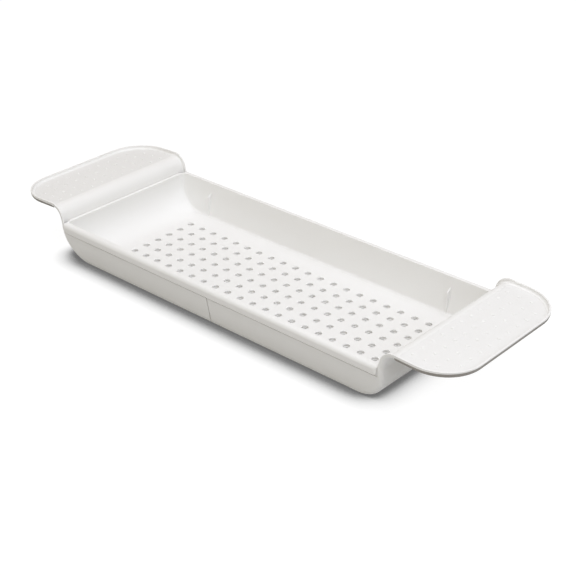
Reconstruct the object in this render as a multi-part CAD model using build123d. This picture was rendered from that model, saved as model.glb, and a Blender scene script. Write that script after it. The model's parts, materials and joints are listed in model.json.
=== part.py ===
from build123d import *
import os
from math import atan2, cos, hypot, radians, sin, sqrt, tan

os.makedirs("parts", exist_ok=True)

# All lengths are in millimetres.
# X runs along the caddy, Y across it, and Z is up from the shells' undersides.

# Basin, and the width of the handle wings, from which the other widths follow
basin_half_length = 242.0
wing_half_width = 105.0
basin_side_inset = 14.2
basin_depth = 44.0
ramp_radius = 37.0
basin_draft = 10.3
basin_corner_radius = 3.4

# Drain holes, the same lattice through both floors and narrower in the lower one
hole_columns = 20
hole_rows = 7
hole_end_margin = 52.0
hole_side_margin = 46.5
hole_diameter = 8.0
shell_hole_diameter = 5.2

# Floors, one lying on the other
shell_floor = 2.3
slide_gap = 0.3
tray_floor = 2.4

# Inner tray's walls and its rim, rolled over the long sides and flat over the short ones
tray_wall = 2.2
rim_thickness = 2.2
rim_end_reach = 0.7
rim_end_radius = 8.0
rim_end_edge = 0.4
rim_foot_radius = 5.0
rim_roll_radius = 4.8
rim_skirt_thickness = 2.0
rim_skirt_drop = 10.8
rim_edge_round = 0.5
end_rim_width = 1.9
end_rim_inset = 5.0
end_rim_gap = 0.3

# Ribs on the tray's walls, one at each end of each wall
rib_thickness = 1.8
rib_height = 27.0
rib_slope_height = 4.0
rib_front_inset = 0.8

# Outer shells, whose end walls turn over into the handle wings
shell_wall = 2.2
shell_side_inset = 8.2
shell_draft = 11.1
shell_end_radius = 37.0
shell_blend_radius = 24.0
shell_edge_radius = 5.0
shell_lip_height = 44.3
ledge_height = 35.6
ledge_step = 0.9
seam_gap = 1.0

# Stops in the rim's channel, which end the slide
travel = 100.0
stop_length = 4.0
stop_reach = 1.8
stop_height = 4.0
stop_play = 0.5

# Handle wings
wing_reach = 86.4
wing_corner_start = 38.4
wing_tilt = 2.6
neck_height = 47.0
neck_radius = 8.0
crest_height = 67.1
crest_run = 5.1
crest_arc_share = 0.7214
lip_neck_height = 3.4
lip_rise_height = 3.6
lip_height = 4.2
lip_round = 0.4

# Grip field on the wing's top
field_clearance = 0.3
field_margin = 3.2
field_depth = 0.25
field_corner_radius = 6.0
bump_columns = 4
bump_rows = 11
outer_bump_rows = 9
bump_first = 7.4
bump_last = 12.4
bump_side_margin = 20.5
bump_diameter = 3.6
bump_height = 0.6
bump_round = 0.4

# Rubber pads, which wrap the wings' undersides and edges
pad_clearance = 0.1
pad_thickness = 1.5
pad_side = 0.8
pad_inset = 0.2
pad_inner_drop = 3.5
pad_outer_drop = 1.5

# Reach of every cut past the solid, and how near an edge lies to the line it is picked by
overrun = 20.0
match = 0.02
sample_shares = (0.1, 0.5, 0.9)

# Places that follow from the sizes above
basin_floor_half_width = wing_half_width - basin_side_inset
shell_floor_half_width = wing_half_width - shell_side_inset
rim_half_width = wing_half_width + rim_skirt_thickness
rim_half_length = basin_half_length + rim_end_reach
rim_end_rise = rim_end_radius - rim_skirt_thickness + rim_end_edge
rim_plan_length = rim_half_length + rim_end_radius - sqrt(rim_end_radius**2 - rim_end_rise**2)
hole_reach_x = basin_half_length - hole_end_margin
hole_pitch_x = hole_reach_x * 2 / (hole_columns - 1)
hole_pitch_y = (wing_half_width - hole_side_margin) * 2 / (hole_rows - 1)
tray_underside = shell_floor + slide_gap
floor_level = tray_underside + tray_floor
rim_level = floor_level + basin_depth
channel_roof = rim_level - rim_thickness
tray_end_face = basin_half_length + tray_wall
end_rim_face = tray_end_face + end_rim_width
end_inner_face = end_rim_face + end_rim_gap
end_outer_face = end_inner_face + shell_wall
wing_half_length = end_outer_face + wing_reach
wing_corner_radius = wing_reach - wing_corner_start
seam_face = seam_gap / 2
crest_place = end_inner_face + crest_run
crest_rise = crest_height - neck_height
crest_radius = crest_rise * crest_arc_share
crest_turn = atan2(crest_rise, crest_run) + radians(wing_tilt)
arc_end = crest_place + crest_radius * tan(crest_turn / 2) * cos(radians(wing_tilt))
pad_face = arc_end + pad_clearance
wing_drop = (wing_half_length + overrun - crest_place) * tan(radians(wing_tilt))
ceiling = crest_height + overrun
lip_start = end_inner_face - lip_neck_height
lip_radii = [neck_radius + lip_neck_height, crest_radius + lip_rise_height]
field_face = arc_end + field_clearance
field_end = wing_half_length - shell_wall - field_margin
bump_run = (field_end - field_face) / cos(radians(wing_tilt)) - bump_first - bump_last
bump_pitch_x = bump_run / (bump_columns - 1)
bump_pitch_y = (wing_half_width - bump_side_margin) * 2 / (bump_rows - 1)


def shifted(points, distances):
    """An open line of points with each of its runs moved sideways, to the left of its direction."""
    runs = []
    for start, end, distance in zip(points, points[1:], distances):
        length = hypot(end[0] - start[0], end[1] - start[1])
        along = ((end[0] - start[0]) / length, (end[1] - start[1]) / length)
        runs.append(((start[0] - along[1] * distance, start[1] + along[0] * distance), along, length))
    moved = [runs[0][0]]
    for (a, u, _), (b, v, _) in zip(runs, runs[1:]):
        reach = ((b[0] - a[0]) * v[1] - (b[1] - a[1]) * v[0]) / (u[0] * v[1] - u[1] * v[0])
        moved.append((a[0] + u[0] * reach, a[1] + u[1] * reach))
    place, along, length = runs[-1]
    moved.append((place[0] + along[0] * length, place[1] + along[1] * length))
    return moved


def side_prism(points, radii):
    """An outline in X and Z with rounded corners, carried across the caddy."""
    face = Plane.XZ * make_face(FilletPolyline(*points, radius=radii, close=True))
    return extrude(face, amount=wing_half_width + overrun, both=True)


def length_prism(points, radii, start, end):
    """An outline in Y and Z with rounded corners, carried along the caddy."""
    face = Plane.YZ.offset(start) * make_face(FilletPolyline(*points, radius=radii, close=True))
    return extrude(face, amount=end - start)


def plan_prism(start, end, half_width, radius, bottom):
    """A plan from start to end with its two far corners rounded, carried up to the ceiling."""
    points = [(start, -half_width), (end, -half_width), (end, half_width), (start, half_width)]
    outline = FilletPolyline(*points, radius=[0, radius, radius, 0], close=True)
    return extrude(Plane.XY.offset(bottom) * make_face(outline), amount=ceiling - bottom)


def block(x, y, z):
    """A box between pairs of places."""
    size = Box(x[1] - x[0], y[1] - y[0], z[1] - z[0], align=(Align.MIN, Align.MIN, Align.MIN))
    return Pos(x[0], y[0], z[0]) * size


def follows(edge, line):
    """Whether an edge lies on a line in X and Z, wherever it is in Y."""
    places = [edge.position_at(share) for share in sample_shares]
    return all(line.distance_to(Vector(place.X, 0, place.Z)) < match for place in places)


def edges_along(solid, points, radii, end):
    """The edges that follow a line in X and Z on both sides, and the one across the far end."""
    line = Plane.XZ * FilletPolyline(*points, radius=radii)
    chosen = ShapeList()
    for edge in solid.edges():
        middle = edge.position_at(1 / 2)
        across = abs(middle.Y) < match and abs(middle.X - end) > match
        if follows(edge, line) and not across:
            chosen.append(edge)
    return chosen


def hole_pins(places, diameter, bottom, top):
    """Pins for the drain holes at the given columns."""
    rows = [(row - (hole_rows - 1) / 2) * hole_pitch_y for row in range(hole_rows)]
    pin = Cylinder(diameter / 2, top - bottom, align=(Align.CENTER, Align.CENTER, Align.MIN))
    return [Pos(x, y, bottom) * pin for x in places for y in rows]


def tray_section(outset):
    """The basin's outline in Y and Z, with its walls moved outwards."""
    slope = tan(radians(basin_draft))
    floor_half = basin_floor_half_width + outset / cos(radians(basin_draft))
    low = floor_half - (floor_level + overrun) * slope
    high = floor_half + (ceiling - floor_level) * slope
    return [(-low, -overrun), (low, -overrun), (high, ceiling), (-high, ceiling)]


def tray_block(outset, bottom, radius):
    """The basin's space or its outside, rounded where the floor and the ends meet the long walls."""
    half_length = basin_half_length + outset
    ramp = ramp_radius + outset
    top = rim_level if outset else ceiling
    base = [(-half_length, top), (-half_length, bottom), (half_length, bottom), (half_length, top)]
    reach = half_length + overrun
    solid = side_prism(base, [0, ramp, ramp, 0])
    solid = solid & length_prism(tray_section(outset), [0, 0, 0, 0], -reach, reach)
    return fillet(edges_along(solid, base, [ramp, ramp], half_length), radius)


def tray_width(z):
    """Half the basin's inner width at a height."""
    return basin_floor_half_width + (z - floor_level) * tan(radians(basin_draft))


def side_rim(side):
    """The rim over one long wall, with its flat, its roll and its skirt."""
    skirt_face = rim_half_width - rim_skirt_thickness
    skirt_foot = rim_level - rim_skirt_drop
    wall = tray_width(channel_roof) + tray_wall / 2
    points = [(wall, rim_level), (rim_half_width, rim_level), (rim_half_width, skirt_foot)]
    points += [(skirt_face, skirt_foot), (skirt_face, channel_roof), (wall, channel_roof)]
    radii = [0, rim_roll_radius, rim_edge_round, rim_edge_round, rim_roll_radius - rim_thickness, 0]
    rim = length_prism([(side * y, z) for y, z in points], radii, -rim_half_length, rim_half_length)
    return rim & rim_ends(skirt_foot)


def rim_ends(foot):
    """What the rim keeps at its ends, drawn in at the sides and rounded up at the skirt's foot."""
    length, width = rim_plan_length, rim_half_width
    plan = [(-length, -width), (length, -width), (length, width), (-length, width)]
    outline = make_face(FilletPolyline(*plan, radius=rim_end_radius, close=True))
    ends = [(-rim_half_length, foot), (rim_half_length, foot)]
    ends += [(rim_half_length, ceiling), (-rim_half_length, ceiling)]
    radii = [rim_foot_radius, rim_foot_radius, 0, 0]
    return extrude(outline, amount=ceiling) & side_prism(ends, radii)


def rib(place, side):
    """One rib standing in the basin against a long wall."""
    foot = floor_level - tray_floor / 2
    top = floor_level + rib_height
    front = basin_floor_half_width - rib_front_inset
    wall_top = top + rib_slope_height
    wall = tray_width(wall_top)
    points = [(front, foot), (front, top), (wall, wall_top), (wall + tray_wall / 2, wall_top)]
    points.append((basin_floor_half_width, foot))
    outline = [(side * y, z) for y, z in points]
    return length_prism(outline, [0, 0, 0, 0, 0], place - rib_thickness / 2, place + rib_thickness / 2)


def make_tray():
    """The inner tray with its floor, walls, rim, ribs, stop lugs and drain holes."""
    tray = tray_block(tray_wall, tray_underside, basin_corner_radius + tray_wall)
    end_half = tray_width(rim_level) - end_rim_inset
    flange = block((-end_rim_face, end_rim_face), (-end_half, end_half), (channel_roof, rim_level))
    corners = flange.edges().filter_by(Axis.Z)
    tray += fillet(corners, end_rim_width / 2)
    for side in (-1, 1):
        tray += side_rim(side)
    tray -= tray_block(0, floor_level, basin_corner_radius)
    mouth = [edge for edge in tray.edges() if inner_mouth(edge)]
    tray = fillet(ShapeList(mouth), rim_edge_round)
    lug_start = seam_face + stop_length + travel + stop_play
    lug_top = shell_lip_height
    lug_face = tray_width(lug_top) + tray_wall / cos(radians(basin_draft)) + stop_reach
    for side in (-1, 1):
        for end in (-1, 1):
            tray += rib(end * hole_reach_x, side)
            x = sorted((end * lug_start, end * (lug_start + stop_length)))
            y = sorted((side * (tray_width(lug_top - stop_height) + tray_wall / 2), side * lug_face))
            tray += block(x, y, (lug_top - stop_height, lug_top))
    columns = [(column - (hole_columns - 1) / 2) * hole_pitch_x for column in range(hole_columns)]
    return tray - hole_pins(columns, hole_diameter, shell_floor, floor_level + slide_gap)


def inner_mouth(edge):
    """Whether an edge belongs to the basin's mouth, inside the rim's top."""
    places = [edge.position_at(share) for share in sample_shares]
    level = all(abs(place.Z - rim_level) < match for place in places)
    inside = all(abs(place.Y) < tray_width(rim_level) + match for place in places)
    return level and inside and all(abs(place.X) < basin_half_length + match for place in places)


def shell_section(inset):
    """The shell's outline in Y and Z, drafted up to the wing's width and plumb above it."""
    slope = tan(radians(shell_draft))
    half = wing_half_width - inset
    floor_half = shell_floor_half_width - inset / cos(radians(shell_draft))
    low = floor_half - overrun * slope
    bend = (half - floor_half) / slope
    right = [(low, -overrun), (half, bend), (half, ceiling)]
    left = [(-half, ceiling), (-half, bend), (-low, -overrun)]
    return right + left, [0, shell_blend_radius - inset, 0, 0, shell_blend_radius - inset, 0]


def face_line():
    """The basin side of the end wall and the top of the wing, past the wing's end."""
    end = (wing_half_length + overrun, crest_height - wing_drop)
    return [(end_inner_face, 0), (end_inner_face, neck_height), (crest_place, crest_height), end]


def shell_body():
    """The shell's outside, filled up to the ceiling."""
    under = shifted(face_line(), [-shell_wall, -shell_wall, -shell_wall])
    lower = [(seam_face, 0), (end_outer_face, 0)] + under[1:]
    upper = [(under[3][0], ceiling), (seam_face, ceiling)]
    radii = [shell_end_radius, neck_radius - shell_wall, crest_radius - shell_wall]
    return shell_block(lower, upper, radii, 0)


def shell_space():
    """The space inside the shell and above the wing."""
    inner = face_line()
    lower = [(-overrun, shell_floor), (end_inner_face, shell_floor)] + inner[1:]
    upper = [(inner[3][0], ceiling), (-overrun, ceiling)]
    radii = [shell_end_radius - shell_wall, neck_radius, crest_radius]
    return shell_block(lower, upper, radii, shell_wall)


def shell_block(lower, upper, radii, inset):
    """The shell's outside or its space, rounded where the floor, the end and the wing meet the sides."""
    end = wing_half_length - inset
    solid = side_prism(lower + upper, [0] + radii + [0, 0, 0])
    section, section_radii = shell_section(inset)
    solid = solid & length_prism(section, section_radii, -overrun, wing_half_length + overrun)
    half_width = wing_half_width - inset
    solid = solid & plan_prism(-overrun, end, half_width, wing_corner_radius - inset, -overrun)
    return fillet(edges_along(solid, lower, radii, end), shell_edge_radius - inset)


def lip_line():
    """The top of the lip that stands round the wing and runs down the end wall."""
    return shifted(face_line(), [lip_neck_height, lip_rise_height, lip_height])


def lip_cover():
    """Everything above the shell's lips."""
    lip = lip_line()
    points = [(-overrun, shell_lip_height), (lip_start, shell_lip_height)] + lip[1:]
    points += [(lip[3][0], ceiling + overrun), (-overrun, ceiling + overrun)]
    return side_prism(points, [0, 0] + lip_radii + [0, 0, 0])


def round_lip(shell):
    """The shell with its lip's two top edges rounded, all the way round the wing."""
    line = Plane.XZ * FilletPolyline(*lip_line(), radius=lip_radii)
    ends = ShapeList()
    for edge in shell.edges():
        middle = edge.position_at(1 / 2)
        at_end = abs(middle.Y) < match and middle.X > wing_half_length - shell_wall * 2
        if at_end and follows(edge, line):
            ends.append(edge)
    return fillet(ends, lip_round)


def ledge():
    """What the step in the shell's side walls leaves out."""
    sides = block((-overrun, lip_start), (-rim_half_width, rim_half_width), (ledge_height, neck_height))
    section, section_radii = shell_section(ledge_step)
    return sides - length_prism(section, section_radii, -overrun, wing_half_length)


def wing_plane(depth):
    """A plane along the wing's top, below it by a depth, with its origin over the crest."""
    tilt = radians(wing_tilt)
    along = (cos(tilt), 0, -sin(tilt))
    up = (sin(tilt), 0, cos(tilt))
    return Plane(origin=(crest_place, 0, crest_height), x_dir=along, z_dir=up).offset(-depth)


def wing_length(x):
    """How far along the wing a place lies from the crest."""
    return (x - crest_place) / cos(radians(wing_tilt))


def wing_top(x):
    """The height of the wing's top at a place."""
    return crest_height - (x - crest_place) * tan(radians(wing_tilt))


def grip_field():
    """The shallow field sunk into the wing's top."""
    start = wing_length(field_face)
    end = wing_length(field_end)
    half = wing_half_width - shell_wall - field_margin
    outer = wing_corner_radius - shell_wall - field_margin
    points = [(start, -half), (end, -half), (end, half), (start, half)]
    radii = [field_corner_radius, outer, outer, field_corner_radius]
    face = wing_plane(field_depth) * make_face(FilletPolyline(*points, radius=radii, close=True))
    return extrude(face, amount=lip_height)


def grip_bumps():
    """The rows of round bumps that stand on the field."""
    height = bump_height + field_depth
    bump = Cylinder(bump_diameter / 2, height, align=(Align.CENTER, Align.CENTER, Align.MIN))
    bump = fillet(bump.edges().sort_by(Axis.Z)[-1], bump_round)
    bumps = []
    for column in range(bump_columns):
        along = wing_length(field_face) + bump_first + column * bump_pitch_x
        rows = outer_bump_rows if column == bump_columns - 1 else bump_rows
        for row in range(rows):
            across = (row - (rows - 1) / 2) * bump_pitch_y
            bumps.append(wing_plane(field_depth * 2) * Pos(along, across, 0) * bump)
    return bumps


def pad_block(inset, drop, radius):
    """The space over a line under the wing, inset from the wing's outline and rounded below."""
    under = shifted(face_line(), [-shell_wall, -shell_wall, -shell_wall - drop])
    inner = pad_face - overrun
    rise = (under[3][1] - under[2][1]) / (under[3][0] - under[2][0])
    lower = [(inner, under[2][1] + (inner - under[2][0]) * rise), under[3]]
    solid = side_prism(lower + [(under[3][0], ceiling), (inner, ceiling)], [0, 0, 0, 0])
    end = wing_half_length - inset
    half_width = wing_half_width - inset
    solid = solid & plan_prism(0, end, half_width, wing_corner_radius - inset, -overrun)
    line = Plane.XZ * Polyline(*lower)
    edges = ShapeList()
    for edge in solid.edges():
        middle = edge.position_at(1 / 2)
        inner_end = abs(middle.Y) < match and middle.X < end - match
        if follows(edge, line) and not inner_end:
            edges.append(edge)
    return fillet(edges, radius)


def pad_zone():
    """The part of the wing that the pad wraps, up to its edge below the lip's top."""
    low = wing_top(pad_face) + lip_height - pad_inner_drop
    high = wing_top(wing_half_length) + lip_height - pad_outer_drop
    past = wing_half_length + overrun
    beyond = high + (high - low) * overrun / (wing_half_length - pad_face)
    points = [(pad_face, neck_height), (past, neck_height), (past, beyond), (pad_face, low)]
    return side_prism(points, [0, 0, 0, 0])


def make_shell():
    """The right shell with its wing, ledge, stops, grip field and drain holes."""
    shell = round_lip((shell_body() - shell_space()) - lip_cover())
    shell -= ledge()
    stop_bottom = shell_lip_height - stop_height
    wall_face = wing_half_width - shell_wall
    for side in (-1, 1):
        y = sorted((side * (wall_face - stop_reach), side * (wall_face + ledge_step / 2)))
        shell += block((seam_face, seam_face + stop_length), y, (stop_bottom, shell_lip_height))
    shell -= pad_zone() - pad_block(pad_inset + pad_side, 0, shell_edge_radius - pad_side)
    shell -= grip_field()
    shell += grip_bumps()
    columns = [(column + 1 / 2) * hole_pitch_x for column in range(hole_columns // 2)]
    return shell - hole_pins(columns, shell_hole_diameter, -slide_gap, tray_underside)


def make_pad():
    """The right wing's rubber pad."""
    outside = pad_block(pad_inset, pad_thickness, shell_edge_radius)
    return (outside & pad_zone()) - pad_block(pad_inset + pad_side, 0, shell_edge_radius - pad_side)


inner_tray = make_tray()
right_shell = make_shell()
right_grip_pad = make_pad()
left_shell = mirror(right_shell, about=Plane.YZ)
left_grip_pad = mirror(right_grip_pad, about=Plane.YZ)

nodes = {
    "inner_tray": inner_tray,
    "left_shell": left_shell,
    "right_shell": right_shell,
    "left_grip_pad": left_grip_pad,
    "right_grip_pad": right_grip_pad,
}
for name, solid in nodes.items():
    export_step(solid, "parts/" + name + ".step")
    box = solid.bounding_box()
    print(name, solid.is_valid, len(solid.solids()), solid.volume, box.min, box.max)
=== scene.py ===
import json
import math

import bmesh
import bpy
from mathutils import Matrix, Vector

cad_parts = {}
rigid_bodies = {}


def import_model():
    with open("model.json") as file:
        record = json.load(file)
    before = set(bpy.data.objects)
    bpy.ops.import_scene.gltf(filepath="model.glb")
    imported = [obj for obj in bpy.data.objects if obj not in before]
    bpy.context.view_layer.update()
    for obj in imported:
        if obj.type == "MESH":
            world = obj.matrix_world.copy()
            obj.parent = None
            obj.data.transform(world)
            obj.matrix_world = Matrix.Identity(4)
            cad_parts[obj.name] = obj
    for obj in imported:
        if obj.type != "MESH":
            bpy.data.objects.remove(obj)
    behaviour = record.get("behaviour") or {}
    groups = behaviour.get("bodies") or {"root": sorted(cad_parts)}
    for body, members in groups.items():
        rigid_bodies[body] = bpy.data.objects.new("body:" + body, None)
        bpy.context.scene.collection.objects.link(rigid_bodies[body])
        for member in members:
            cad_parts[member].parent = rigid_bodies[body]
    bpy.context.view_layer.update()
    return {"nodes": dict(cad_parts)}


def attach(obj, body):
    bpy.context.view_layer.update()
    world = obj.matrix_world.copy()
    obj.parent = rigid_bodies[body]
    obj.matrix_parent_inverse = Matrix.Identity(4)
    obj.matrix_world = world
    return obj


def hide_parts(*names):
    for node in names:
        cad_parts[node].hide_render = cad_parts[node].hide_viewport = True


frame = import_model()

bl_info = {
    "name": "Bath Caddy",
    "version": (1, 0, 0),
    "blender": (4, 5, 0),
    "location": "3D View > Sidebar > Caddy",
    "description": "Builds an extendable bath caddy round its packed CAD frame",
    "category": "Add Mesh",
}


# Places on the tray, in metres, by which its hole rims, skirts and ribs are found

TRAY_UNDERSIDE = 0.0026
TRAY_FLOOR = 0.005
SKIRT_OUTSIDE = 0.1063
SKIRT_BEND = 0.044
SKIRT_HALF_LENGTH = 0.2393
RIB_PLACE = 0.19
RIB_HALF = 0.0009
RIB_FACE = 0.0885
RIB_TOP = 0.0365
CLOSE = 0.00002

# Merging and shading of the tray's mesh, in metres and degrees

MERGE_REACH = 0.00001
FLAT_TURN = 0.5
CREST_TURN = 25
SMOOTH_TURN = 32

# The wings' places in the frame, in metres and degrees, which the grip fields' texture follows

WING_TILT = 2.6
CREST_PLACE = 0.2515
CREST_HEIGHT = 0.0671
FIELD_START = 0.2633
FIELD_DEPTH = 0.00025

# The moulded look that both plastics share. Lengths are in metres, and scales are per metre.

PLASTIC_IOR = 1.49
TONE_SCALE, TONE_DETAIL = 9.0, 3.0
TONE_LOW, TONE_HIGH = 0.3, 0.7
STREAK_STRETCH = (0.35, 1.0, 1.0)
STREAK_SCALE, STREAK_DETAIL = 40.0, 4.0
STREAK_MIDDLE = 0.5
GRAIN_DETAIL, GRAIN_STRENGTH = 2.0, 0.5
# Painted shade deep in holes and seams: how far it looks, with how many rays, and the open
# shares between which it fades out
CREVICE_REACH, CREVICE_RAYS = 0.004, 8
CREVICE_CLOSED, CREVICE_OPEN = 0.1, 0.5

# What sets the two plastics and the grip fields apart

WHITE_LOOK = {
    "specular": 0.5, "tone_shift": 0.015, "gloss_shift": 0.10,
    "grain_scale": 1400.0, "grain_depth": 0.00003}
RUBBER_LOOK = {
    "specular": 0.35, "tone_shift": 0.12, "gloss_shift": 0.10,
    "grain_scale": 1900.0, "grain_depth": 0.00012}
# Colour that the pads are multiplied by as painted shade in their holes and seams
RUBBER_CREVICE_SHADE_TINT = (0.9, 0.88, 0.86)
PIT_SCALE, PIT_DETAIL = 520.0, 3.0
PIT_DEPTH, PIT_STRENGTH = 0.0003, 0.6

# The studio: its floor and its square lamps, each with its name, place and side, in metres

FLOOR_SIDE = 12.0
FLOOR_LEVEL = -0.0002
SOFTBOXES = {
    "top": ("overhead_softbox", (0.0, 0.0, 1.7), 1.8),
    "right": ("right_softbox", (1.3, 0.0, 1.1), 1.6),
    "front": ("front_softbox", (0.0, -1.3, 1.1), 1.6),
}

# Painted contact shadow on the floor: its brightness as the share of open space over it grows,
# looking up and to the right

CONTACT_LEAN = 0.6
CONTACT_CURVE = (
    (0.50, 0.16), (0.575, 0.27), (0.625, 0.44), (0.675, 0.60),
    (0.725, 0.70), (0.775, 0.79), (0.85, 0.88), (0.98, 1.0))

# The photo's camera, fitted to the lattice of drain holes

PICTURE_SIDE = 576
CAMERA_PLACE = (0.91016, -0.98937, 0.75554)
CAMERA_AHEAD = (-0.580059, 0.652492, -0.487632)
CAMERA_RIGHT = (0.747330, 0.664453, 0.0001)
CAMERA_SENSOR = 36.0
CAMERA_LENS = 81.55
CAMERA_NEAR, CAMERA_FAR = 0.05, 50.0
HALF_PIXEL = 0.5 / PICTURE_SIDE

WHITE = (1, 1, 1, 1)


# Sizes and colours that a user would change

class CaddyMoulding(bpy.types.PropertyGroup):
    """How the moulded edges are finished."""

    tray_edge: bpy.props.FloatProperty(
        name="Tray edges", description="Rounding of the tray's hole rims and ribs",
        default=0.00045, min=0.0, max=0.0008, unit="LENGTH")
    skirt_lean: bpy.props.FloatProperty(
        name="Skirt lean",
        description="How far the skirts' outer faces draw in from their bend to their foot",
        default=0.0004, min=0.0, max=0.0009, unit="LENGTH")
    edge_steps: bpy.props.IntProperty(
        name="Edge steps", description="Facets across each rounded edge",
        default=3, min=1, max=4)


class CaddyFinish(bpy.types.PropertyGroup):
    """Colours and gloss of the two plastics."""

    white: bpy.props.FloatVectorProperty(
        name="White plastic", description="Colour of the tray and the shells",
        default=(0.87, 0.868, 0.855), min=0.0, max=1.0, subtype="COLOR")
    white_roughness: bpy.props.FloatProperty(
        name="White roughness", description="Roughness of the tray and the shells",
        default=0.42, min=0.0, max=1.0, subtype="FACTOR")
    field_matting: bpy.props.FloatProperty(
        name="Field matting", description="How much rougher the grip fields are than the rest",
        default=0.22, min=0.0, max=0.5, subtype="FACTOR")
    # Painted shade of the grip fields' rough texture
    field_shade: bpy.props.FloatProperty(
        name="Field shade", description="Share of its brightness that the grip fields keep",
        default=0.95, min=0.0, max=1.0, subtype="FACTOR")
    # Painted shade: the white plastic is multiplied by this colour deep in holes and seams
    crevice_shade_tint: bpy.props.FloatVectorProperty(
        name="Crevice tint",
        description="Colour that the white plastic is multiplied by deep in holes and seams",
        default=(0.84, 0.80, 0.74), min=0.0, max=1.0, subtype="COLOR")
    rubber: bpy.props.FloatVectorProperty(
        name="Rubber", description="Colour of the grip pads",
        default=(0.33, 0.31, 0.285), min=0.0, max=1.0, subtype="COLOR")
    rubber_roughness: bpy.props.FloatProperty(
        name="Rubber roughness", description="Roughness of the grip pads",
        default=0.75, min=0.0, max=1.0, subtype="FACTOR")


class CaddyStudio(bpy.types.PropertyGroup):
    """The studio's light levels."""

    fill: bpy.props.FloatProperty(
        name="Fill", description="Strength of the even light from all round",
        default=0.335, min=0.0)
    fill_tint: bpy.props.FloatVectorProperty(
        name="Fill tint", description="Colour of the even light",
        default=(1.0, 0.90, 0.70), min=0.0, max=1.0, subtype="COLOR")
    top: bpy.props.FloatProperty(
        name="Top light", description="Power of the large lamp overhead",
        default=16.3, min=0.0, unit="POWER")
    top_tint: bpy.props.FloatVectorProperty(
        name="Top tint", description="Colour of the lamp overhead",
        default=(0.90, 0.906, 1.0), min=0.0, max=1.0, subtype="COLOR")
    right: bpy.props.FloatProperty(
        name="Right light", description="Power of the lamp past the right handle",
        default=11.6, min=0.0, unit="POWER")
    right_tint: bpy.props.FloatVectorProperty(
        name="Right tint", description="Colour of the lamp past the right handle",
        default=(0.835, 0.893, 1.0), min=0.0, max=1.0, subtype="COLOR")
    front: bpy.props.FloatProperty(
        name="Front light", description="Power of the lamp before the near long side",
        default=5.3, min=0.0, unit="POWER")
    front_tint: bpy.props.FloatVectorProperty(
        name="Front tint", description="Colour of the lamp before the near long side",
        default=(0.97, 0.995, 1.0), min=0.0, max=1.0, subtype="COLOR")
    floor_bounce: bpy.props.FloatVectorProperty(
        name="Floor bounce", description="Colour of the floor to the light it throws back",
        default=(0.61, 0.61, 0.61), min=0.0, max=1.0, subtype="COLOR")
    floor_glow: bpy.props.FloatProperty(
        name="Floor glow",
        description="How bright the floor is to the camera where no light falls on it",
        default=0.96, min=0.0)
    floor_seen: bpy.props.FloatProperty(
        name="Floor as seen",
        description="How pale the floor is to the camera where light falls on it",
        default=0.12, min=0.0)
    # Reach of the painted contact shadow on the floor
    contact_reach: bpy.props.FloatProperty(
        name="Contact shadow",
        description="How far the shadow reaches out from what touches the floor",
        default=0.034, min=0.001, unit="LENGTH")


# Nodes

def feed(tree, socket, value):
    """Set a socket to a plain value, or link it to another node's output."""
    if isinstance(value, bpy.types.NodeSocket):
        tree.links.new(value, socket)
    else:
        socket.default_value = value


def new_node(tree, kind, settings=None, inputs=None):
    """Add a node with its settings and with what its inputs are fed."""
    node = tree.nodes.new(kind)
    for name, value in (settings or {}).items():
        setattr(node, name, value)
    for name, value in (inputs or {}).items():
        feed(tree, node.inputs[name], value)
    return node


def new_math(tree, operation, *values):
    """Work out one number from others, and return the socket that it comes out of."""
    node = new_node(tree, "ShaderNodeMath", {"operation": operation}, dict(enumerate(values)))
    return node.outputs[0]


def new_noise(tree, place, scale, detail):
    """Add a noise that lies still in the object, and return the socket that it comes out of."""
    noise = new_node(
        tree, "ShaderNodeTexNoise", inputs={"Vector": place, "Scale": scale, "Detail": detail})
    return noise.outputs["Fac"]


def object_place(tree):
    """The place of each point in its object, as a socket."""
    return new_node(tree, "ShaderNodeTexCoord").outputs["Object"]


def new_group(name, inputs, outputs):
    """Make a shader node group with its named sockets."""
    group = bpy.data.node_groups.new(name, "ShaderNodeTree")
    for way, sockets in (("INPUT", inputs), ("OUTPUT", outputs)):
        for label, kind in sockets.items():
            group.interface.new_socket(
                name=label, in_out=way, socket_type="NodeSocket" + kind)
    return group


# Materials

def moulding_group():
    """The look of moulded plastic: soft shifts of tone, uneven gloss and a fine grain."""
    group = new_group(
        "moulded_surface",
        {"Colour": "Color", "Tone shift": "Float", "Roughness": "Float", "Gloss shift": "Float",
         "Grain scale": "Float"},
        {"Colour": "Color", "Roughness": "Float", "Height": "Float"})
    enter = new_node(group, "NodeGroupInput").outputs
    place = object_place(group)
    # Tone: darker in wide soft patches, by no more than the tone shift
    tone = new_node(group, "ShaderNodeMapRange", inputs={
        "Value": new_noise(group, place, TONE_SCALE, TONE_DETAIL),
        "From Min": TONE_LOW, "From Max": TONE_HIGH,
        "To Min": new_math(group, "SUBTRACT", 1.0, enter["Tone shift"]), "To Max": 1.0})
    toned = new_node(group, "ShaderNodeVectorMath", {"operation": "SCALE"}, {
        0: enter["Colour"], "Scale": tone.outputs["Result"]})
    # Gloss: streaks drawn out along the mould's flow
    stretched = new_node(group, "ShaderNodeMapping", inputs={
        "Vector": place, "Scale": STREAK_STRETCH})
    streak = new_noise(group, stretched.outputs["Vector"], STREAK_SCALE, STREAK_DETAIL)
    shift = new_math(group, "SUBTRACT", streak, STREAK_MIDDLE)
    gloss = new_math(group, "MULTIPLY_ADD", shift, enter["Gloss shift"], enter["Roughness"])
    # Grain: a fine even texture
    grain = new_noise(group, place, enter["Grain scale"], GRAIN_DETAIL)
    new_node(group, "NodeGroupOutput", inputs={
        "Colour": toned.outputs["Vector"], "Roughness": gloss, "Height": grain})
    return group


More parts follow.
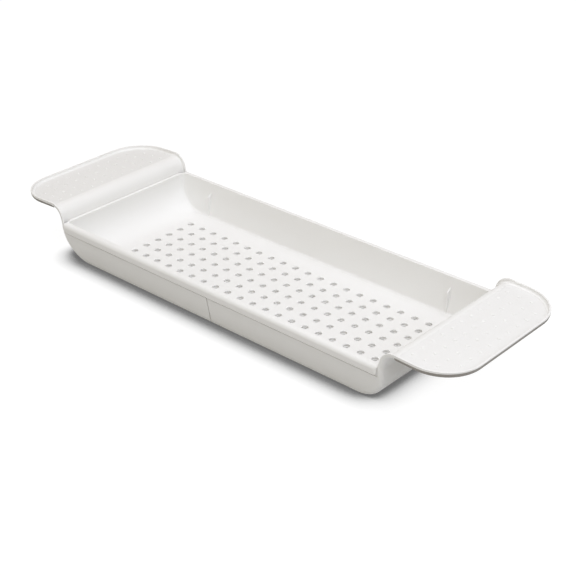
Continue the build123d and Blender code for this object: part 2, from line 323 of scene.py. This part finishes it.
def field_group():
    """A mask that is one on the sunk floors of the two grip fields and nothing anywhere else."""
    group = new_group("grip_field_mask", {}, {"Mask": "Float"})
    folded = new_node(group, "ShaderNodeVectorMath", {"operation": "ABSOLUTE"}, {
        0: object_place(group)}).outputs["Vector"]
    # Height over the caddy, measured square to the tilted wings
    tilt = math.radians(WING_TILT)
    height = new_node(group, "ShaderNodeVectorMath", {"operation": "DOT_PRODUCT"}, {
        0: folded, 1: (math.sin(tilt), 0, math.cos(tilt))}).outputs["Value"]
    crest = CREST_PLACE * math.sin(tilt) + CREST_HEIGHT * math.cos(tilt)
    sunk = new_math(group, "COMPARE", height, crest - FIELD_DEPTH, FIELD_DEPTH / 2)
    along = new_node(group, "ShaderNodeSeparateXYZ", inputs={0: folded}).outputs["X"]
    past = new_math(group, "GREATER_THAN", along, FIELD_START)
    new_node(group, "NodeGroupOutput", inputs={"Mask": new_math(group, "MULTIPLY", sunk, past)})
    return group


def moulded_material(name, colour, roughness, crevice_shade_tint, look):
    """A plastic with its own colour and grain, and painted shade deep in its holes and seams."""
    material = bpy.data.materials.new(name)
    material.use_nodes = True
    tree = material.node_tree
    shader = tree.nodes["Principled BSDF"].inputs
    shader["IOR"].default_value = PLASTIC_IOR
    shader["Specular IOR Level"].default_value = look["specular"]
    group = bpy.data.node_groups.get("moulded_surface") or moulding_group()
    surface = new_node(tree, "ShaderNodeGroup", {"node_tree": group}, {
        "Colour": (*colour, 1), "Roughness": roughness, "Tone shift": look["tone_shift"],
        "Gloss shift": look["gloss_shift"], "Grain scale": look["grain_scale"]}).outputs
    # Painted shade: the colour is darkened deep in holes and seams, where less light gets back
    # out
    crevice = new_node(tree, "ShaderNodeAmbientOcclusion", {"samples": CREVICE_RAYS}, {
        "Distance": CREVICE_REACH})
    openness = new_node(tree, "ShaderNodeMapRange", inputs={
        "Value": crevice.outputs["AO"],
        "From Min": CREVICE_CLOSED, "From Max": CREVICE_OPEN})
    tint = new_node(tree, "ShaderNodeMix", {"data_type": "RGBA"}, {
        "A": (*crevice_shade_tint, 1), "B": WHITE, "Factor": openness.outputs["Result"]})
    shaded = new_node(tree, "ShaderNodeMix", {"data_type": "RGBA", "blend_type": "MULTIPLY"}, {
        "A": surface["Colour"], "B": tint.outputs["Result"], "Factor": 1.0})
    bump = new_node(tree, "ShaderNodeBump", inputs={
        "Strength": GRAIN_STRENGTH, "Distance": look["grain_depth"],
        "Height": surface["Height"]})
    feed(tree, shader["Base Color"], shaded.outputs["Result"])
    feed(tree, shader["Roughness"], surface["Roughness"])
    feed(tree, shader["Normal"], bump.outputs["Normal"])
    return material


def add_grip_fields(material, matting, keep):
    """Make the grip fields on the wings rougher and more deeply grained, with a little painted
    shade that darkens their colour.
    """
    tree = material.node_tree
    shader = tree.nodes["Principled BSDF"].inputs
    mask = new_node(tree, "ShaderNodeGroup", {"node_tree": field_group()}).outputs["Mask"]
    colour, roughness, normal = (
        shader[name].links[0].from_socket for name in ("Base Color", "Roughness", "Normal"))
    # Painted shade: the fields' colour is darkened to stand in for the shade their rough texture
    # gets
    level = new_math(tree, "MULTIPLY_ADD", mask, keep - 1, 1.0)
    darker = new_node(tree, "ShaderNodeVectorMath", {"operation": "SCALE"}, {
        0: colour, "Scale": level})
    # The eroded texture of the fields, coarser than the grain of the rest
    pits = new_noise(tree, object_place(tree), PIT_SCALE, PIT_DETAIL)
    coarse = new_node(tree, "ShaderNodeBump", inputs={
        "Strength": PIT_STRENGTH, "Distance": PIT_DEPTH,
        "Height": new_math(tree, "MULTIPLY", pits, mask), "Normal": normal})
    feed(tree, shader["Base Color"], darker.outputs["Vector"])
    feed(tree, shader["Roughness"], new_math(tree, "MULTIPLY_ADD", mask, matting, roughness))
    feed(tree, shader["Normal"], coarse.outputs["Normal"])


def material_named(name):
    """One of the caddy's finishes, made the first time it is asked for."""
    if name in bpy.data.materials:
        return bpy.data.materials[name]
    finish = bpy.context.scene.caddy_finish
    if name == "matt_grip_rubber":
        return moulded_material(
            name, finish.rubber, finish.rubber_roughness, RUBBER_CREVICE_SHADE_TINT, RUBBER_LOOK)
    made = moulded_material(
        name, finish.white, finish.white_roughness, finish.crevice_shade_tint, WHITE_LOOK)
    if name == "handle_white_plastic":
        add_grip_fields(made, finish.field_matting, finish.field_shade)
    return made


# The studio

def seen_mask(tree):
    """One for the rays that show the backdrop, and nothing for those that light the caddy."""
    path = new_node(tree, "ShaderNodeLightPath").outputs
    return new_math(tree, "MAXIMUM", path["Is Camera Ray"], path["Is Glossy Ray"])


def floor_material(studio):
    """A pale matt floor that keeps a little of the caddy's shadow, with a painted contact shadow
    over it, deepest where things touch it.
    """
    material = bpy.data.materials.new("studio_floor")
    material.use_nodes = True
    tree = material.node_tree
    tree.nodes.clear()
    lean = new_node(tree, "ShaderNodeCombineXYZ", inputs={"X": CONTACT_LEAN, "Z": 1.0})
    toward = new_node(tree, "ShaderNodeVectorMath", {"operation": "NORMALIZE"}, {
        0: lean.outputs["Vector"]})
    contact = new_node(tree, "ShaderNodeAmbientOcclusion", inputs={
        "Distance": studio.contact_reach, "Normal": toward.outputs["Vector"]})
    # Painted contact shadow: the floor's colour and glow are scaled down where little open space
    # is over it
    depth = new_node(tree, "ShaderNodeValToRGB", inputs={"Fac": contact.outputs["AO"]})
    stops = depth.color_ramp.elements
    for count, (open_share, level) in enumerate(CONTACT_CURVE):
        stop = stops[count] if count < len(stops) else stops.new(open_share)
        stop.position = open_share
        stop.color = (level, level, level, 1)
    level = depth.outputs["Color"]
    seen = seen_mask(tree)
    # Light that falls on the floor: thrown back evenly, but shown only in part and darkened by
    # the painted contact shadow
    paint = new_node(tree, "ShaderNodeMix", {"data_type": "RGBA"}, {
        "A": (*studio.floor_bounce, 1), "Factor": seen,
        "B": new_math(tree, "MULTIPLY", level, studio.floor_seen)})
    matt = new_node(tree, "ShaderNodeBsdfDiffuse", inputs={"Color": paint.outputs["Result"]})
    # Brightness of its own, shown but not thrown on the caddy, darkened by the painted contact
    # shadow
    lift = new_math(tree, "MULTIPLY", level, studio.floor_glow)
    glow = new_node(tree, "ShaderNodeEmission", inputs={
        "Strength": new_math(tree, "MULTIPLY", lift, seen)})
    both = new_node(tree, "ShaderNodeAddShader", inputs={
        0: matt.outputs[0], 1: glow.outputs[0]})
    new_node(tree, "ShaderNodeOutputMaterial", inputs={"Surface": both.outputs[0]})
    return material


def studio_world(studio):
    """Even light from all round, in front of a white backdrop."""
    world = bpy.data.worlds.new("studio_world")
    world.use_nodes = True
    tree = world.node_tree
    background = tree.nodes["Background"].inputs
    seen = seen_mask(tree)
    tint = new_node(tree, "ShaderNodeMix", {"data_type": "RGBA"}, {
        "A": (*studio.fill_tint, 1), "B": WHITE, "Factor": seen})
    level = new_node(tree, "ShaderNodeMix", inputs={
        "A": studio.fill, "B": 1.0, "Factor": seen})
    feed(tree, background["Color"], tint.outputs["Result"])
    feed(tree, background["Strength"], level.outputs["Result"])
    return world


def add_softbox(name, place, side, power, tint):
    """A square lamp that faces the caddy's middle."""
    bpy.ops.object.select_all(action="DESELECT")
    bpy.ops.object.light_add(type="AREA", location=place)
    lamp = bpy.context.object
    lamp.name = name
    lamp.data.shape = "SQUARE"
    lamp.data.size = side
    lamp.data.energy = power
    lamp.data.color = tint
    lamp.rotation_euler = Vector(place).to_track_quat("Z", "Y").to_euler()


def add_camera():
    """The camera of the photo."""
    camera = bpy.data.cameras.new("photo_camera")
    camera.sensor_width = CAMERA_SENSOR
    camera.lens = CAMERA_LENS
    camera.clip_start, camera.clip_end = CAMERA_NEAR, CAMERA_FAR
    camera.shift_x, camera.shift_y = -HALF_PIXEL, HALF_PIXEL
    eye = bpy.data.objects.new("photo_camera", camera)
    bpy.context.scene.collection.objects.link(eye)
    ahead = Vector(CAMERA_AHEAD).normalized()
    right = Vector(CAMERA_RIGHT).normalized()
    up = right.cross(ahead).normalized()
    turn = Matrix((right, up, -ahead)).transposed()
    eye.matrix_world = Matrix.Translation(CAMERA_PLACE) @ turn.to_4x4()
    return eye


# The tray's mesh

def is_crest(edge):
    """Whether an edge stands out sharply from the surface round it."""
    return len(edge.link_faces) == 2 and edge.calc_face_angle_signed() > math.radians(CREST_TURN)


def is_hole_rim(edge):
    """Whether an edge is part of a drain hole's rim, above or below the tray's floor."""
    levels = [
        min(abs(end.co.z - TRAY_FLOOR), abs(end.co.z - TRAY_UNDERSIDE)) for end in edge.verts]
    return max(levels) < CLOSE and is_crest(edge)


def is_rib_edge(edge):
    """Whether an edge runs along one of the four ribs, clear of the floor and the walls."""
    near = all(abs(abs(end.co.x) - RIB_PLACE) < RIB_HALF + CLOSE for end in edge.verts)
    inside = all(
        abs(end.co.y) > RIB_FACE and TRAY_FLOOR - CLOSE < end.co.z < RIB_TOP
        for end in edge.verts)
    return near and inside and is_crest(edge)


def lean_skirts(tray, lean):
    """Draw in the outer faces of the rim's skirts at their foot."""
    bpy.ops.mesh.select_mode(type="VERT")
    mesh = bmesh.from_edit_mesh(tray.data)
    for side in (-1, 1):
        bpy.ops.mesh.select_all(action="DESELECT")
        for point in mesh.verts:
            x, y, z = point.co
            point.select = (
                y * side > SKIRT_OUTSIDE and z < SKIRT_BEND and abs(x) < SKIRT_HALF_LENGTH)
        mesh.select_flush_mode()
        bmesh.update_edit_mesh(tray.data)
        bpy.ops.transform.translate(value=(0, -side * lean, 0))
    bpy.ops.mesh.select_all(action="DESELECT")


def round_edges(tray, width, steps):
    """Round the rims of the holes and the edges of the ribs."""
    bpy.ops.mesh.select_mode(type="EDGE")
    mesh = bmesh.from_edit_mesh(tray.data)
    for edge in mesh.edges:
        edge.select = is_hole_rim(edge) or is_rib_edge(edge)
    bmesh.update_edit_mesh(tray.data)
    bpy.ops.mesh.bevel(
        offset=width, segments=steps, affect="EDGES", loop_slide=False, clamp_overlap=False)
    bpy.ops.mesh.select_all(action="DESELECT")


def finish_node(name, material):
    """Give a CAD node its finish."""
    node = frame["nodes"][name]
    node.data.materials.clear()
    node.data.materials.append(material)


# Operators

class CADDY_OT_tray(bpy.types.Operator):
    """Make the perforated inner tray, with its moulded edges rounded"""

    bl_idname = "caddy.tray"
    bl_label = "Inner tray"

    def execute(self, context):
        moulding = context.scene.caddy_moulding
        node = frame["nodes"]["inner_tray"]
        bpy.ops.object.select_all(action="DESELECT")
        node.select_set(True)
        context.view_layer.objects.active = node
        bpy.ops.object.duplicate()
        tray = context.object
        tray.name = tray.data.name = "moulded_tray"
        bpy.ops.object.parent_clear(type="CLEAR_KEEP_TRANSFORM")
        bpy.ops.object.mode_set(mode="EDIT")
        bpy.ops.mesh.select_all(action="SELECT")
        bpy.ops.mesh.remove_doubles(threshold=MERGE_REACH)
        bpy.ops.mesh.customdata_custom_splitnormals_clear()
        bpy.ops.mesh.dissolve_limited(angle_limit=math.radians(FLAT_TURN))
        lean_skirts(tray, moulding.skirt_lean)
        round_edges(tray, moulding.tray_edge, moulding.edge_steps)
        bpy.ops.object.mode_set(mode="OBJECT")
        bpy.ops.object.shade_smooth_by_angle(angle=math.radians(SMOOTH_TURN))
        weigh = tray.modifiers.new("even shading", "WEIGHTED_NORMAL")
        weigh.keep_sharp = True
        bpy.ops.object.modifier_apply(modifier=weigh.name)
        tray.data.materials.clear()
        tray.data.materials.append(material_named("satin_white_plastic"))
        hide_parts("inner_tray")
        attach(tray, "tray")
        return {"FINISHED"}


class CADDY_OT_shells(bpy.types.Operator):
    """Finish the two sliding shells with their handle wings"""

    bl_idname = "caddy.shells"
    bl_label = "Sliding shells"

    def execute(self, context):
        for side in ("left", "right"):
            finish_node(
                side + "_shell", material_named("handle_white_plastic"))
        return {"FINISHED"}


class CADDY_OT_pads(bpy.types.Operator):
    """Finish the rubber pads under the wings"""

    bl_idname = "caddy.pads"
    bl_label = "Grip pads"

    def execute(self, context):
        for side in ("left", "right"):
            finish_node(side + "_grip_pad", material_named("matt_grip_rubber"))
        return {"FINISHED"}


class CADDY_OT_stage(bpy.types.Operator):
    """Add the floor, the soft studio light and the camera"""

    bl_idname = "caddy.stage"
    bl_label = "Stage"

    def execute(self, context):
        studio = context.scene.caddy_studio
        bpy.ops.object.select_all(action="DESELECT")
        bpy.ops.mesh.primitive_plane_add(size=FLOOR_SIDE, location=(0, 0, FLOOR_LEVEL))
        floor = context.object
        floor.name = "floor"
        floor.data.materials.append(floor_material(studio))
        context.scene.world = studio_world(studio)
        for light, (name, place, side) in SOFTBOXES.items():
            add_softbox(
                name, place, side, getattr(studio, light), getattr(studio, light + "_tint"))
        context.scene.camera = add_camera()
        context.scene.view_settings.view_transform = "Standard"
        return {"FINISHED"}


class CADDY_PT_panel(bpy.types.Panel):
    """The caddy's pieces and settings"""

    bl_idname = "CADDY_PT_panel"
    bl_label = "Bath caddy"
    bl_space_type = "VIEW_3D"
    bl_region_type = "UI"
    bl_category = "Caddy"

    def draw(self, context):
        layout = self.layout
        for name in GROUPS:
            group = getattr(context.scene, name)
            box = layout.box()
            for setting in group.__annotations__:
                box.prop(group, setting)
        for operator in OPERATORS:
            layout.operator(operator.bl_idname)


GROUPS = {
    "caddy_moulding": CaddyMoulding, "caddy_finish": CaddyFinish, "caddy_studio": CaddyStudio}
OPERATORS = (CADDY_OT_tray, CADDY_OT_shells, CADDY_OT_pads, CADDY_OT_stage)


def register():
    for name, group in GROUPS.items():
        bpy.utils.register_class(group)
        setattr(bpy.types.Scene, name, bpy.props.PointerProperty(type=group))
    for kind in OPERATORS + (CADDY_PT_panel,):
        bpy.utils.register_class(kind)


def unregister():
    for kind in reversed(OPERATORS + (CADDY_PT_panel,)):
        bpy.utils.unregister_class(kind)
    for name, group in GROUPS.items():
        delattr(bpy.types.Scene, name)
        bpy.utils.unregister_class(group)


def main():
    register()
    bpy.ops.caddy.tray()
    bpy.ops.caddy.shells()
    bpy.ops.caddy.pads()
    bpy.ops.caddy.stage()


if __name__ == "__main__":
    main()
